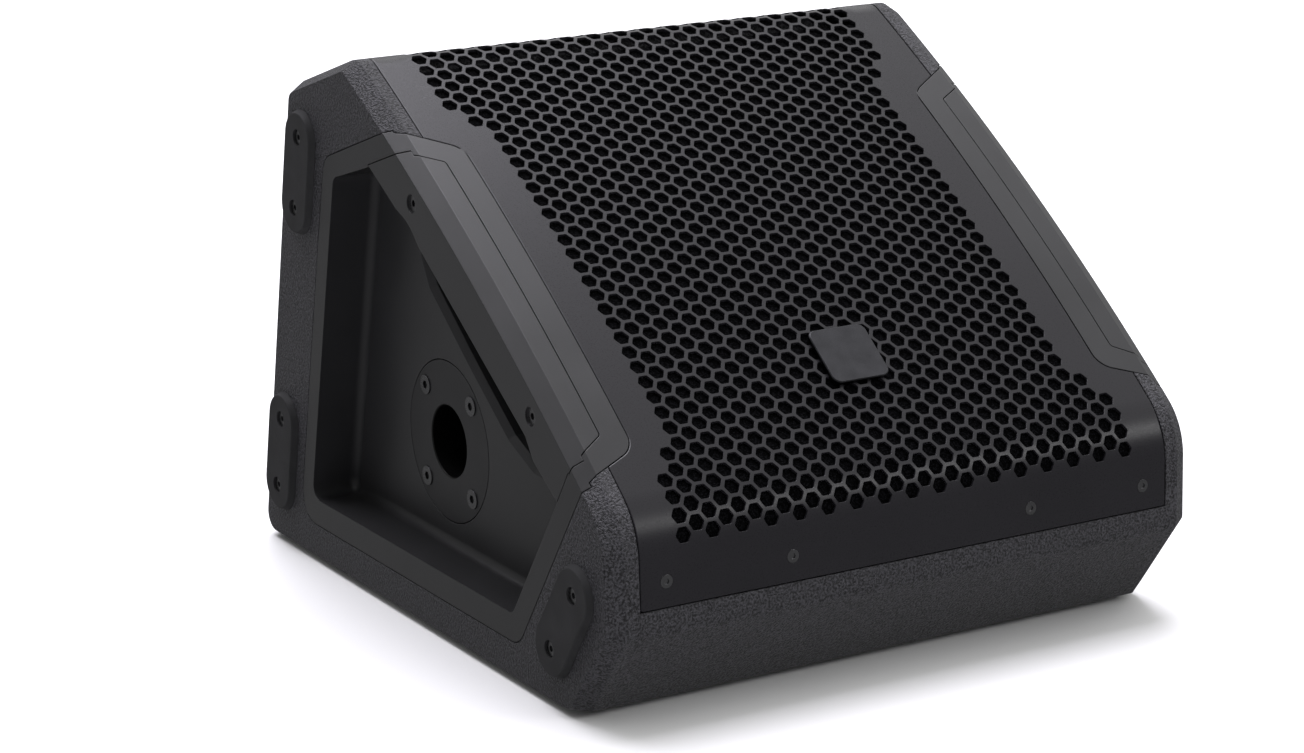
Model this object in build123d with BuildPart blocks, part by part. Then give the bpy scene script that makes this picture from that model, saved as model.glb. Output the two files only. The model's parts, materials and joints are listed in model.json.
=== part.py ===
from build123d import *
import os
from math import asin, atan, atan2, cos, degrees, hypot, radians, sin

os.makedirs("parts", exist_ok=True)

# A powered coaxial stage monitor wedge. X runs across it, -Y is the front, +Z is up.
# The origin is on the floor, under the middle of the cabinet. All sizes are in millimetres.

# ---------------------------------------------------------------- driving dimensions
cabinet_width = 328.0
board = 15.0                    # birch plywood
foot_height = 4.0
bevel_across = 8.1              # bevel of the side boards, measured across the cabinet
bevel_in = 5.2                  # the same bevel, measured into the side outline

# Side outline as (Y, Z): base, front chamfer, front flat, nose, slope, top, rear.
base_front = (-151.8, foot_height)
lower_corner = (-183.8, 48.1)
flat_angle = 87.9
flat_length = 33.4
nose_radius = 39.3
nose_turn = 48.6
slope_radius = 1514.0
slope_turn = 10.93
rear_top = (138.2, 248.2)
rear_foot = (183.8, foot_height)
lower_corner_radius, rear_top_radius, foot_radius = 9.0, 11.0, 14.0

gap = 0.5                       # seam between two pieces that meet on the surface

# Grille and what lies behind it
sheet = 1.5
grille_foot = 59.6              # height of the grille's lower edge
grille_bend = 13.0
grille_return = 27.0            # length of the grille on top of the cabinet
foam = 6.0

# Recess, side frame and handle
frame_wall = 3.0
frame_skin = 4.0
recess_depth = 25.0
grip_depth = 35.0
handle_edge_x = 145.3
frame_edge_x = 132.2

# Pole socket
pole_y, pole_z = 15.5, 87.5
pole_bore_radius = 18.0
pole_flange_radius = 40.6
pole_screw_spacing = 47.0
pole_depth = 70.0

# Driver, measured from the slope plane inwards
baffle_depth = 22.0
woofer_radius = 105.0
cutout_radius = 93.5

# Connection panel on the right
panel_y, panel_z = 28.0, 77.0
panel_long, panel_high = 136.0, 68.0
panel_sheet = 2.0

half_width = cabinet_width / 2
inner_half = half_width - board
bevel_angle = degrees(atan(bevel_in / bevel_across))
floor_x = half_width - recess_depth


# ---------------------------------------------------------------- outline geometry
def ahead(point, angle, distance):
    """The point a distance away from another in a direction in degrees."""
    return (point[0] + distance * cos(radians(angle)), point[1] + distance * sin(radians(angle)))


def at_height(a, b, z):
    """The point at height z on the line through a and b."""
    share = (z - a[1]) / (b[1] - a[1])
    return (a[0] + share * (b[0] - a[0]), z)


def after_arc(start, angle, radius, turn):
    """End of an arc that leaves start at an angle and turns clockwise."""
    centre = ahead(start, angle - 90, radius)
    return ahead(centre, angle + 90 - turn, radius)


nose_start = ahead(lower_corner, flat_angle, flat_length)
slope_start = after_arc(nose_start, flat_angle, nose_radius, nose_turn)
slope_angle = flat_angle - nose_turn
slope_end = after_arc(slope_start, slope_angle, slope_radius, slope_turn)
chord_angle = slope_angle - slope_turn / 2
slope_middle = ((slope_start[0] + slope_end[0]) / 2, (slope_start[1] + slope_end[1]) / 2)
top_angle = degrees(atan2(rear_top[1] - slope_end[1], rear_top[0] - slope_end[0]))
chord = hypot(slope_end[0] - slope_start[0], slope_end[1] - slope_start[1])


def on_slope(along, depth):
    """(Y, Z) of a point given along the slope's chord and in from it."""
    return ahead(ahead(slope_middle, chord_angle, along), chord_angle - 90, depth)


def bulge(along):
    """How far the curved slope stands out from its chord."""
    rise = slope_radius - (slope_radius ** 2 - (chord / 2) ** 2) ** 0.5
    return rise - (slope_radius - (slope_radius ** 2 - along ** 2) ** 0.5)


def slope_plane(depth=0.0):
    """Plane on the slope's chord: x across, y up the slope, z outwards."""
    y, z = on_slope(0, depth)
    tilt = radians(chord_angle)
    return Plane(origin=(0, y, z), x_dir=(1, 0, 0), z_dir=(0, -sin(tilt), cos(tilt)))


def draw_outline(bottom=foot_height):
    """Draw the side outline in the active BuildLine, down to a given height."""
    foot = at_height(base_front, lower_corner, bottom)
    heel = at_height(rear_foot, rear_top, bottom)
    Line(foot, lower_corner)
    flat = Line(lower_corner, nose_start)
    nose = JernArc(start=flat @ 1, tangent=flat % 1, radius=nose_radius, arc_size=-nose_turn)
    slope = JernArc(start=nose @ 1, tangent=nose % 1, radius=slope_radius, arc_size=-slope_turn)
    Line(slope @ 1, rear_top)
    Line(rear_top, heel)
    Line(heel, foot)


def nearest(sketch, point):
    """The sketch's vertex nearest to a point of its own plane."""
    return sketch.vertices().sort_by_distance(Vector(point[0], point[1], 0))[0]


def envelope(inset=0.0):
    """The whole cabinet as one bevelled block, or that block drawn in by an inset."""
    with BuildPart() as block:
        plain_half = half_width - bevel_across - inset
        bottom = foot_height - bevel_in
        with BuildSketch(Plane.YZ) as core:
            with BuildLine():
                draw_outline(bottom)
            make_face()
            for corner, radius in ((slope_end, grille_bend), (rear_top, rear_top_radius),
                                   (lower_corner, lower_corner_radius),
                                   (at_height(base_front, lower_corner, bottom), foot_radius),
                                   (at_height(rear_foot, rear_top, bottom), foot_radius)):
                fillet(nearest(core, corner), radius)
            if inset:
                offset(amount=-inset)
        extrude(amount=plain_half, both=True)
        for side in (1, -1):
            extrude(block.faces().sort_by(Axis.X)[-1 if side > 0 else 0],
                    amount=bevel_across, taper=bevel_angle)
        split(bisect_by=Plane.XY.offset(foot_height), keep=Keep.TOP)
    return block.part


outer_block = envelope()


# ---------------------------------------------------------------- small helpers
def side_plane(y, z, x=half_width):
    """Plane facing right at (x, y, z), its x axis along +Y and its y axis up."""
    return Plane(origin=(x, y, z), x_dir=(0, 1, 0), z_dir=(1, 0, 0))


def flat_plane(z):
    """Plane on the front flat at a height, facing forward."""
    turn = radians(flat_angle)
    y = at_height(lower_corner, nose_start, z)[0]
    return Plane(origin=(0, y, z), x_dir=(1, 0, 0), z_dir=(0, -sin(turn), cos(turn)))


def surface_plane(along):
    """Plane that touches the curved slope at a distance along its chord."""
    y, z = on_slope(along, -bulge(along))
    tilt = radians(chord_angle) - asin(along / slope_radius)
    return Plane(origin=(0, y, z), x_dir=(1, 0, 0), z_dir=(0, -sin(tilt), cos(tilt)))


def rear_at(z, inset):
    """Point at a height on the rear face, drawn in square to it."""
    lean = atan2(rear_foot[0] - rear_top[0], rear_top[1] - rear_foot[1])
    return (at_height(rear_foot, rear_top, z)[0] - inset / cos(lean), z)


def on_top(distance, inset):
    """(Y, Z) of a point along the top face, from its front corner, and down from it."""
    return ahead(ahead(slope_end, top_angle, distance), top_angle - 90, inset)


def rod(plane, radius, length):
    """A cylinder that starts on a plane and runs along its normal."""
    with BuildPart() as cylinder:
        with BuildSketch(plane):
            Circle(radius)
        extrude(amount=length)
    return cylinder.part


def box(plane, width, height, length):
    """A block whose base is centred on a plane and that runs along its normal."""
    with BuildPart() as block:
        with BuildSketch(plane):
            Rectangle(width, height)
        extrude(amount=length)
    return block.part


def screw_set(planes, head_radius, head_height, shank_radius, length, drive=0.0):
    """Screws whose heads end on the given planes. A drive above 0 is the hex socket's radius."""
    with BuildPart() as screws:
        for plane in planes:
            with BuildSketch(plane.offset(-head_height)):
                Circle(head_radius)
            extrude(amount=head_height)
            with BuildSketch(plane.offset(-head_height)):
                Circle(shank_radius)
            extrude(amount=-length)
            if drive:
                with BuildSketch(plane):
                    RegularPolygon(drive, 6)
                extrude(amount=-0.65 * head_height, mode=Mode.SUBTRACT)
    return screws.part


def save(block, name):
    """Label a finished sub-part and write it."""
    block.part.label = name
    export_step(block.part, f"parts/{name}.step")


# ---------------------------------------------------------------- side frame and handle regions
frame_heel, frame_peak, frame_toe = (135.3, 21.3), (95.5, 217.8), (-98.2, 21.3)
frame_crest = (0.0, 252.4)
frame_brow = (-180.0, 144.1)
recess_heel, recess_peak, recess_toe = (121.2, 34.9), (85.4, 209.7), (-92.4, 34.9)
recess_throat, recess_cheek = on_slope(95.2, 25.4), on_slope(-122.9, 25.7)

# The handle's lower edge and the finger space, both along the slope and in from it
strip_edge = [on_slope(*spot) for spot in ((64.5, 23.2), (53.8, 20.7), (48, 20.3), (37, 22.2), (-85.3, 21.8),
                                           (-97.3, 26.2))]
grip_low, grip_high, grip_reach, rim_from = -79.0, 68.0, 71.0, 40.0
grip_floor = [on_slope(*spot) for spot in ((grip_low, 3), (grip_low, 61), (-71, 66), (-46, grip_reach),
                                           (2, 69.5), (50, 66.4), (64, 59.5), (grip_high, 50),
                                           (grip_high, 3))]
floor_round, floor_round_limit, rim_flare = 4.5, 28.0, 3.0


def edge_depth(edge):
    """How far the middle of an edge lies in from the slope's chord."""
    middle = edge @ 0.5
    y, z = middle.Y - slope_middle[0], middle.Z - slope_middle[1]
    return y * sin(radians(chord_angle)) - z * cos(radians(chord_angle))


def recess_sketch(sketch):
    """Draw the recess's outline in the active sketch on a side plane."""
    Polygon(recess_heel, recess_peak, recess_throat, *strip_edge, recess_cheek, recess_toe, align=None)
    for corner, radius in ((recess_heel, 7), (recess_peak, 6), (recess_toe, 6)):
        fillet(nearest(sketch, corner), radius)


def lobe(clearance=0.0, depth=24.0):
    """Prism that bounds the frame where it wraps over the bevel on to the slope."""
    upper, lower = (frame_edge_x, 71.1), (frame_edge_x, -120.7)
    with BuildPart() as prism:
        with BuildSketch(slope_plane(depth)) as outline:
            Polygon(upper, (155.9, 85.7), (164, 93.6), (172, 101.4), (172, -138.3), lower, align=None)
            fillet(nearest(outline, upper), 11)
            fillet(nearest(outline, lower), 11)
            offset(amount=clearance)
        extrude(amount=depth + 20)
    return prism.part


def side_frame_block(clearance=0.0):
    """All that lies inside the right side frame's outer surface, with no recess cut."""
    brow_thickness = 7.5
    with BuildPart() as block:
        add(lobe(clearance))
        add(envelope(brow_thickness + clearance), mode=Mode.SUBTRACT)
        with BuildSketch(Plane.YZ.offset(half_width - frame_skin - clearance)) as flange:
            Polygon(frame_heel, frame_peak, frame_crest, frame_brow, frame_toe, align=None)
            for corner, radius in ((frame_heel, 14), (frame_peak, 13), (frame_toe, 13)):
                fillet(nearest(flange, corner), radius)
            offset(amount=clearance)
        extrude(amount=frame_skin + 6)
        with BuildSketch(Plane.YZ.offset(floor_x - frame_wall)) as tub:
            Polygon(recess_heel, recess_peak, recess_throat, recess_cheek, recess_toe, align=None)
            offset(amount=frame_wall + clearance)
        extrude(amount=recess_depth + frame_wall)
        low, high = grip_low - frame_wall, grip_high + frame_wall
        for x, front in ((half_width - grip_depth - frame_wall, 0.0), (frame_edge_x, -12.0)):
            with BuildSketch(Plane.YZ.offset(x)):
                corners = ((low, front), (low, grip_reach + frame_wall), (high, grip_reach + frame_wall),
                           (high, front))
                Polygon(*[on_slope(*corner) for corner in corners], align=None)
                offset(amount=clearance)
            extrude(amount=half_width - x)
        add(outer_block, mode=Mode.INTERSECT)
    return block.part


def handle_block(clearance=0.0):
    """The right handle's outer shape: an angled strip over the bevel."""
    front_high, front_low = (handle_edge_x, 63.3), (handle_edge_x, -111.0)
    upper_end = (on_slope(66.3, -15), on_slope(96.4, 25.6))
    lower_end = (on_slope(-122.5, 25.7), on_slope(-121.5, -15))
    with BuildPart() as block:
        with BuildSketch(Plane.YZ.offset(half_width - frame_skin - 2)):
            Polygon(*upper_end, *strip_edge, *lower_end, align=None)
            offset(amount=clearance)
        extrude(amount=frame_skin + 6)
        with BuildSketch(slope_plane(frame_skin + 2)) as front:
            Polygon(front_high, (155.9, 69.3), (164, 77.5), (170, 83.6), (170, -126.6), front_low, align=None)
            fillet(nearest(front, front_high), 2)
            fillet(nearest(front, front_low), 2)
            offset(amount=clearance)
        extrude(amount=24)
        add(outer_block, mode=Mode.INTERSECT)
        add(envelope(frame_skin + clearance), mode=Mode.SUBTRACT)
    return block.part


frame_cut = side_frame_block(gap)
handle_spots = [on_slope(53.3, 9.4), on_slope(-83.9, 10.5)]
handle_screw_planes = [side_plane(*spot, x=half_width - 1.2) for spot in handle_spots]


def handle_screw_shapes(drive=0.0):
    return screw_set(handle_screw_planes, 3.8, 2.2, 2.0, 9.0, drive)


# ---------------------------------------------------------------- rubber feet on the sides
rear_lean = degrees(atan2(rear_top[1] - rear_foot[1], rear_top[0] - rear_foot[0]))
front_lean = degrees(atan2(frame_brow[1] - frame_toe[1], frame_brow[0] - frame_toe[0]))
bumper_spots = {"top_rear": (122.3, 205.9, rear_lean), "bottom_rear": (153.4, 51.5, rear_lean),
                "front": (-143.5, 46.4, front_lean)}
bumper_height, bumper_long, bumper_wide, bumper_screw_spacing = 3.5, 66.0, 30.0, 38.0


def bumper_plane(spot):
    """Plane on the right side with its x axis along a bumper foot."""
    y, z, lean = bumper_spots[spot]
    along = (0, cos(radians(lean)), sin(radians(lean)))
    return Plane(origin=(half_width, y, z), x_dir=along, z_dir=(1, 0, 0))


def bumper_screw_planes():
    """Planes at the tops of the right side's bumper foot screws."""
    planes = []
    for spot in bumper_spots:
        base = bumper_plane(spot)
        for shift in (-bumper_screw_spacing / 2, bumper_screw_spacing / 2):
            origin = base.from_local_coords(Vector(shift, 0, bumper_height - 1.2))
            planes.append(Plane(origin=origin, x_dir=base.x_dir, z_dir=base.z_dir))
    return planes


def bumper_screw_shapes(drive=0.0):
    return screw_set(bumper_screw_planes(), 3.6, 1.6, 1.8, 12.0, drive)


bumper_feet = {}
for spot in bumper_spots:
    with BuildPart() as bumper:
        with BuildSketch(bumper_plane(spot)):
            SlotOverall(bumper_long, bumper_wide)
        extrude(amount=bumper_height, taper=24)
        top_face = bumper.faces().sort_by(Axis.X)[-1]
        fillet(top_face.edges(), 0.8)
        for plane in bumper_screw_planes():
            add(rod(plane.offset(-1.6), 4.2, 5), mode=Mode.SUBTRACT)
        add(bumper_screw_shapes(), mode=Mode.SUBTRACT)
    save(bumper, f"bumper_foot_right_{spot}")
    with BuildPart() as mirrored:
        mirror(bumper.part, about=Plane.YZ)
    save(mirrored, f"bumper_foot_left_{spot}")

# ---------------------------------------------------------------- wooden boards
board_half = inner_half - 0.1

with BuildPart() as side_panel_right:
    add(outer_block)
    split(bisect_by=Plane.YZ.offset(inner_half), keep=Keep.TOP)
    add(frame_cut, mode=Mode.SUBTRACT)
    add(bumper_screw_shapes(), mode=Mode.SUBTRACT)
    add(handle_screw_shapes(), mode=Mode.SUBTRACT)
save(side_panel_right, "side_panel_right")

with BuildPart() as side_panel_left:
    mirror(side_panel_right.part, about=Plane.YZ)
save(side_panel_left, "side_panel_left")

foot_spots = [(x, y) for x in (-115, 115) for y in (-115, 140)]
base_foot_radius = 13.0


def foot_screw_shapes(drive=0.0):
    planes = [Plane(origin=(x, y, 1.4), x_dir=(1, 0, 0), z_dir=(0, 0, -1)) for x, y in foot_spots]
    return screw_set(planes, 3.5, 1.6, 1.8, 12.0, drive)


for index, (x, y) in enumerate(foot_spots, start=1):
    with BuildPart() as base_foot:
        with BuildSketch():
            with Locations((x, y)):
                Circle(base_foot_radius)
        extrude(amount=foot_height, taper=-14)
        add(rod(Plane(origin=(x, y, 0)), 5.0, 1.4), mode=Mode.SUBTRACT)
        add(foot_screw_shapes(), mode=Mode.SUBTRACT)
    save(base_foot, f"base_foot_{index}")

with BuildPart() as foot_screws:
    add(bumper_screw_shapes(drive=1.6))
    mirror(foot_screws.part, about=Plane.YZ)
    add(foot_screw_shapes(drive=1.6))
save(foot_screws, "foot_screws")

rail_inner_y = -138.0
floor_top = foot_height + board

with BuildPart() as base_panel:
    with BuildSketch(Plane.YZ):
        Polygon((rail_inner_y + 0.1, foot_height), rear_at(foot_height, board + 0.1),
                rear_at(floor_top, board + 0.1), (rail_inner_y + 0.1, floor_top), align=None)
    extrude(amount=board_half, both=True)
    add(foot_screw_shapes(), mode=Mode.SUBTRACT)
save(base_panel, "base_panel")

top_underside = rear_at(rear_top[1] - 16.0, 0)

grille_rebate = sheet + 0.3
rear_corner_length = hypot(rear_top[0] - slope_end[0], rear_top[1] - slope_end[1])

with BuildPart() as top_panel:
    with BuildSketch(Plane.YZ):
        Polygon(on_top(14, grille_rebate), on_top(grille_return + 0.5, grille_rebate),
                on_top(grille_return + 0.5, 0), on_top(rear_corner_length, 0),
                (top_underside[0] - 0.1, top_underside[1] + 0.1),
                on_top(rear_corner_length - 12, board), on_top(14, board), align=None)
    extrude(amount=board_half, both=True)
    add(outer_block, mode=Mode.INTERSECT)
save(top_panel, "top_panel")

with BuildPart() as rear_panel:
    with BuildSketch(Plane.YZ):
        Polygon(rear_at(foot_height, 0), top_underside, rear_at(top_underside[1] + 4.8, board),
                rear_at(foot_height, board), align=None)
    extrude(amount=board_half, both=True)
    add(outer_block, mode=Mode.INTERSECT)
    add(top_panel.part, mode=Mode.SUBTRACT)
save(rear_panel, "rear_panel")

grille_screw_base = flat_plane(71.7)
grille_screw_planes = [grille_screw_base.shift_origin(grille_screw_base.from_local_coords(Vector(x, 0, 0)))
                       for x in (-134.8, -67.4, 67.4, 134.8)]


def grille_screw_shapes(drive=0.0):
    return screw_set(grille_screw_planes, 3.2, 0.9, 1.6, 14.0, drive)


baffle_low, baffle_high, baffle_wing = -150.0, 139.0, 114.0
baffle_half = 125.0

with BuildPart() as front_rail:
    with BuildSketch(Plane.YZ):
        Polygon(base_front, lower_corner, at_height(lower_corner, nose_start, grille_foot - gap),
                (-181.2, grille_foot - gap), (-180.4, 81.0), on_slope(baffle_low - 0.1, baffle_depth),
                on_slope(baffle_low - 0.1, baffle_depth + board), (-166.5, 50.0), (rail_inner_y, 22.0),
                (rail_inner_y, foot_height), align=None)
    extrude(amount=board_half, both=True)
    add(outer_block, mode=Mode.INTERSECT)
    add(grille_screw_shapes(), mode=Mode.SUBTRACT)
save(front_rail, "front_rail")

# ---------------------------------------------------------------- coaxial driver
woofer_up = -12.0
woofer_y, woofer_z = on_slope(woofer_up, 0)
outward = slope_plane().z_dir
driver_axis = Axis((0, woofer_y, woofer_z), outward)
driver_section = Plane(origin=(0, woofer_y, woofer_z), x_dir=(1, 0, 0), z_dir=Vector(1, 0, 0).cross(outward))
woofer_bolt_radius = 98.0
port_x, port_up, port_length, port_wall = 98.0, 108.0, 90.0, 2.0
port_radius = 22.0


def driver_plane(depth):
    """Plane square to the driver's axis at a depth below the slope's chord plane."""
    return Plane(origin=(0, woofer_y, woofer_z), x_dir=(1, 0, 0), z_dir=outward).offset(-depth)


def turned(*profile):
    """Revolve (radius, depth) points about the driver's axis."""
    with BuildPart() as ring:
        with BuildSketch(driver_section):
            Polygon(*[(radius, -depth) for radius, depth in profile], align=None)
        revolve(axis=driver_axis)
    return ring.part


def ring(inner, outer, front, back):
    """A plain ring on the driver's axis between two depths."""
    return turned((inner, front), (outer, front), (outer, back), (inner, back))


flange_front = baffle_depth - 4.5
woofer_screw_planes = []
for index in range(8):
    turn = radians(22.5 + 45 * index)
    origin = driver_plane(flange_front - 3.0).from_local_coords(
        Vector(woofer_bolt_radius * cos(turn), woofer_bolt_radius * sin(turn), 0))
    woofer_screw_planes.append(Plane(origin=origin, x_dir=(1, 0, 0), z_dir=outward))


def woofer_screw_shapes(drive=0.0):
    return screw_set(woofer_screw_planes, 4.2, 2.4, 2.2, 16.0, drive)


with BuildPart() as baffle:
    with BuildSketch(slope_plane(baffle_depth)):
        Polygon((-baffle_half, baffle_low), (baffle_half, baffle_low), (baffle_half, baffle_wing),
                (board_half, baffle_wing), (board_half, baffle_high), (-board_half, baffle_high),
                (-board_half, baffle_wing), (-baffle_half, baffle_wing), align=None)
        with Locations((0, woofer_up)):
            Circle(cutout_radius, mode=Mode.SUBTRACT)
        with Locations((-port_x, port_up), (port_x, port_up)):
            Circle(port_radius + port_wall + 0.05, mode=Mode.SUBTRACT)
    extrude(amount=-board)
    add(woofer_screw_shapes(), mode=Mode.SUBTRACT)
save(baffle, "baffle")

for side, name in ((-1, "left"), (1, "right")):
    with BuildPart() as port_tube:
        with BuildSketch(slope_plane(baffle_depth)):
            with Locations((side * port_x, port_up)):
                Circle(port_radius + port_wall)
                Circle(port_radius, mode=Mode.SUBTRACT)
        extrude(amount=-port_length)
        with BuildSketch(slope_plane(baffle_depth)):
            with Locations((side * port_x, port_up)):
                Circle(port_radius + 4.5)
                Circle(port_radius, mode=Mode.SUBTRACT)
        extrude(amount=2.0)
    save(port_tube, f"port_tube_{name}")

basket_foot = 78.0
with BuildPart() as woofer_basket:
    add(turned((woofer_radius, flange_front), (woofer_radius, baffle_depth),
               (cutout_radius - 0.5, baffle_depth), (90, 28), (62, 74), (62, basket_foot),
               (32, basket_foot), (32, 75), (58.6, 75), (58.6, 73), (86.5, 27), (89, flange_front)))
    for index in range(6):
        window = driver_plane(68).rotated((0, 0, 60 * index))
        add(box(window.shift_origin(window.from_local_coords(Vector(80, 0, 0))), 60, 34, 34),
            mode=Mode.SUBTRACT)
    add(woofer_screw_shapes(), mode=Mode.SUBTRACT)
save(woofer_basket, "woofer_basket")

roll_centre, roll_radius, roll_wall = 84.6, 5.6, 0.9
ring_front = flange_front - roll_wall
with BuildPart() as woofer_surround:
    with BuildSketch(driver_section):
        with Locations((roll_centre, -flange_front)):
            Circle(roll_radius)
            Circle(roll_radius - roll_wall, mode=Mode.SUBTRACT)
            with Locations((0, -roll_radius)):
                Rectangle(4 * roll_radius, 2 * roll_radius, mode=Mode.SUBTRACT)
        with Locations(((roll_centre + roll_radius + 95.5) / 2 - 0.2, -(flange_front + ring_front) / 2)):
            Rectangle(95.5 - roll_centre - roll_radius + 0.6, roll_wall)
    revolve(axis=driver_axis)
    add(woofer_screw_shapes(), mode=Mode.SUBTRACT)
save(woofer_surround, "woofer_surround")

with BuildPart() as woofer_gasket:
    add(ring(91.5, 104.5, ring_front - 2.0, ring_front))
    add(woofer_screw_shapes(), mode=Mode.SUBTRACT)
    for plane in woofer_screw_planes:
        add(rod(plane.offset(-2.4), 4.6, 6), mode=Mode.SUBTRACT)
save(woofer_gasket, "woofer_gasket")

with BuildPart() as woofer_screws:
    add(woofer_screw_shapes(drive=2.0))
save(woofer_screws, "woofer_screws")

coil_inner, coil_outer = 25.2, 26.9
cone_radius = roll_centre - roll_radius - 0.35
with BuildPart() as woofer_cone:
    add(turned((cone_radius, flange_front), (cone_radius, flange_front + 1.4), (27.2, 51.4), (25.95, 51.4),
               (25.95, 50.2)))
save(woofer_cone, "woofer_cone")

with BuildPart() as woofer_voice_coil:
    add(turned((coil_inner, 48.6), (25.9, 48.6), (25.9, 77), (coil_outer, 77), (coil_outer, 88),
               (coil_inner, 88)))
save(woofer_voice_coil, "woofer_voice_coil")

spider_depth, spider_inner, spider_outer, spider_rolls = 60.0, 26.0, 66.2, 5
with BuildPart() as woofer_spider:
    pitch = (spider_outer - spider_inner) / (2 * spider_rolls)
    crest = [(spider_inner + pitch * step, spider_depth + (1.6 if step % 2 else -1.6))
             for step in range(2 * spider_rolls + 1)]
    add(turned(*crest, *[(radius, depth + 0.7) for radius, depth in reversed(crest)]))
save(woofer_spider, "woofer_spider")

with BuildPart() as woofer_top_plate:
    add(ring(27.4, 58, basket_foot, 86))
save(woofer_top_plate, "woofer_top_plate")

with BuildPart() as woofer_magnet:
    add(ring(33, 62, 86, 104))
save(woofer_magnet, "woofer_magnet")

with BuildPart() as woofer_yoke:
    add(turned((13.2, 79), (24.7, 79), (24.7, 104), (58, 104), (58, 111), (13.2, 111)))
save(woofer_yoke, "woofer_yoke")

with BuildPart() as horn:
    add(turned((12.8, 111), (12.8, 80), (19.5, 52), (23.3, 45), (50, 26.5), (50, 24.5), (22.3, 43),
               (17.8, 51), (11.2, 80), (11.2, 111)))
save(horn, "horn")

with BuildPart() as compression_driver:
    add(turned((0, 136), (34, 136), (43, 130), (43, 111), (11.2, 111), (11.2, 117), (0, 117)))
save(compression_driver, "compression_driver")

# ---------------------------------------------------------------- grille, foam and badge
with BuildPart() as grille:
    with BuildSketch(Plane.YZ) as skin:
        with BuildLine():
            draw_outline()
        make_face()
        fillet(nearest(skin, slope_end), grille_bend)
        offset(skin.face(), amount=-sheet, mode=Mode.SUBTRACT)
        Polygon((-250, grille_foot), (0, grille_foot), on_top(grille_return, 60), on_top(grille_return, -60),
                (-250, 400), align=None, mode=Mode.INTERSECT)
    extrude(amount=inner_half - gap, both=True)
    notch = lobe(gap)
    add(notch, mode=Mode.SUBTRACT)
    add(notch.mirror(Plane.YZ), mode=Mode.SUBTRACT)
    add(grille_screw_shapes(), mode=Mode.SUBTRACT)
save(grille, "grille")

with BuildPart() as grille_foam:
    with BuildSketch(Plane.YZ) as pad:
        with BuildLine():
            draw_outline()
        make_face()
        offset(amount=-sheet - 0.2)
        offset(pad.face(), amount=-foam, mode=Mode.SUBTRACT)
        Polygon((-250, 84), (0, 84), on_slope(132, 20), on_slope(132, -60), (-250, 400), align=None,
                mode=Mode.INTERSECT)
    extrude(amount=inner_half - 1.0, both=True)
    notch = lobe(8.5)
    add(notch, mode=Mode.SUBTRACT)
    add(notch.mirror(Plane.YZ), mode=Mode.SUBTRACT)
save(grille_foam, "grille_foam")

with BuildPart() as grille_screws:
    add(grille_screw_shapes(drive=1.4))
save(grille_screws, "grille_screws")

badge_along, badge_wide, badge_high, badge_thick, badge_radius = -90.9, 32.0, 32.0, 2.2, 4.5
with BuildPart() as badge:
    with BuildSketch(surface_plane(badge_along).offset(0.15)):
        RectangleRounded(badge_wide, badge_high, badge_radius)
    extrude(amount=badge_thick)
    chamfer(badge.faces().sort_by(Axis(origin=(0, 0, 0), direction=outward))[-1].edges(), 0.5)
save(badge, "badge")

# ---------------------------------------------------------------- side frames and handles


def recess_pocket():
    """The recess's hollow, rounded where its floor meets the lower, rear and upper walls."""
    with BuildPart() as pocket:
        with BuildSketch(Plane.YZ.offset(floor_x)) as outline:
            recess_sketch(outline)
        extrude(amount=recess_depth + 10)
        floor_edges = pocket.edges().group_by(Axis.X)[0]
        walls = floor_edges.filter_by(lambda edge: edge_depth(edge) > floor_round_limit)
        fillet(walls, floor_round)
    return pocket.part


def finger_space():
    """The hollow behind the handle, flared on its deep side where it opens in the recess floor."""
    with BuildPart() as space:
        with BuildSketch(Plane.YZ.offset(floor_x - rim_flare)) as mouth:
            Polygon(*grip_floor, align=None)
            fillet(mouth.vertices(), 2.5)
        extrude(amount=rim_flare + 1, taper=-45)
        with BuildSketch(Plane.YZ.offset(floor_x - rim_flare - 1)):
            low, high, reach = grip_low - 2 * rim_flare, grip_high + 2 * rim_flare, grip_reach + 2 * rim_flare
            Polygon(on_slope(low, rim_from), on_slope(low, reach), on_slope(high, reach),
                    on_slope(high, rim_from), align=None)
        extrude(amount=rim_flare + 3, mode=Mode.INTERSECT)
        with BuildSketch(Plane.YZ.offset(half_width - grip_depth)) as fingers:
            Polygon(*grip_floor, align=None)
            fillet(fingers.vertices(), 2.5)
        extrude(amount=21)
    return space.part


def side_frame_shape():
    """The right side frame with its recess and finger space, before its floor is fitted out."""
    with BuildPart() as frame:
        add(side_frame_block())
        add(recess_pocket(), mode=Mode.SUBTRACT)
        add(finger_space(), mode=Mode.SUBTRACT)
        with BuildSketch(Plane.YZ.offset(148)):
            Polygon(on_slope(-76, -12), on_slope(-76, 27), on_slope(44, 27), on_slope(44, -12), align=None)
        extrude(amount=30, mode=Mode.SUBTRACT)
        add(handle_block(gap), mode=Mode.SUBTRACT)
        add(handle_screw_shapes(), mode=Mode.SUBTRACT)
    return frame.part


right_frame_shape = side_frame_shape()

with BuildPart() as handle_right:
    add(handle_block())
    with BuildSketch(Plane.YZ.offset(half_width - 18)):
        Polygon(on_slope(-74, 17.8), on_slope(-74, 21.8), on_slope(34, 22.1), on_slope(34, 18.1), align=None)
    extrude(amount=16)
    for plane in handle_screw_planes:
        add(rod(plane, 4.6, 4), mode=Mode.SUBTRACT)
    add(handle_screw_shapes(), mode=Mode.SUBTRACT)
save(handle_right, "handle_right")

with BuildPart() as handle_left:
    mirror(handle_right.part, about=Plane.YZ)
save(handle_left, "handle_left")

with BuildPart() as handle_screws:
    add(handle_screw_shapes(drive=1.8))
    mirror(handle_screws.part, about=Plane.YZ)
save(handle_screws, "handle_screws")

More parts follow.
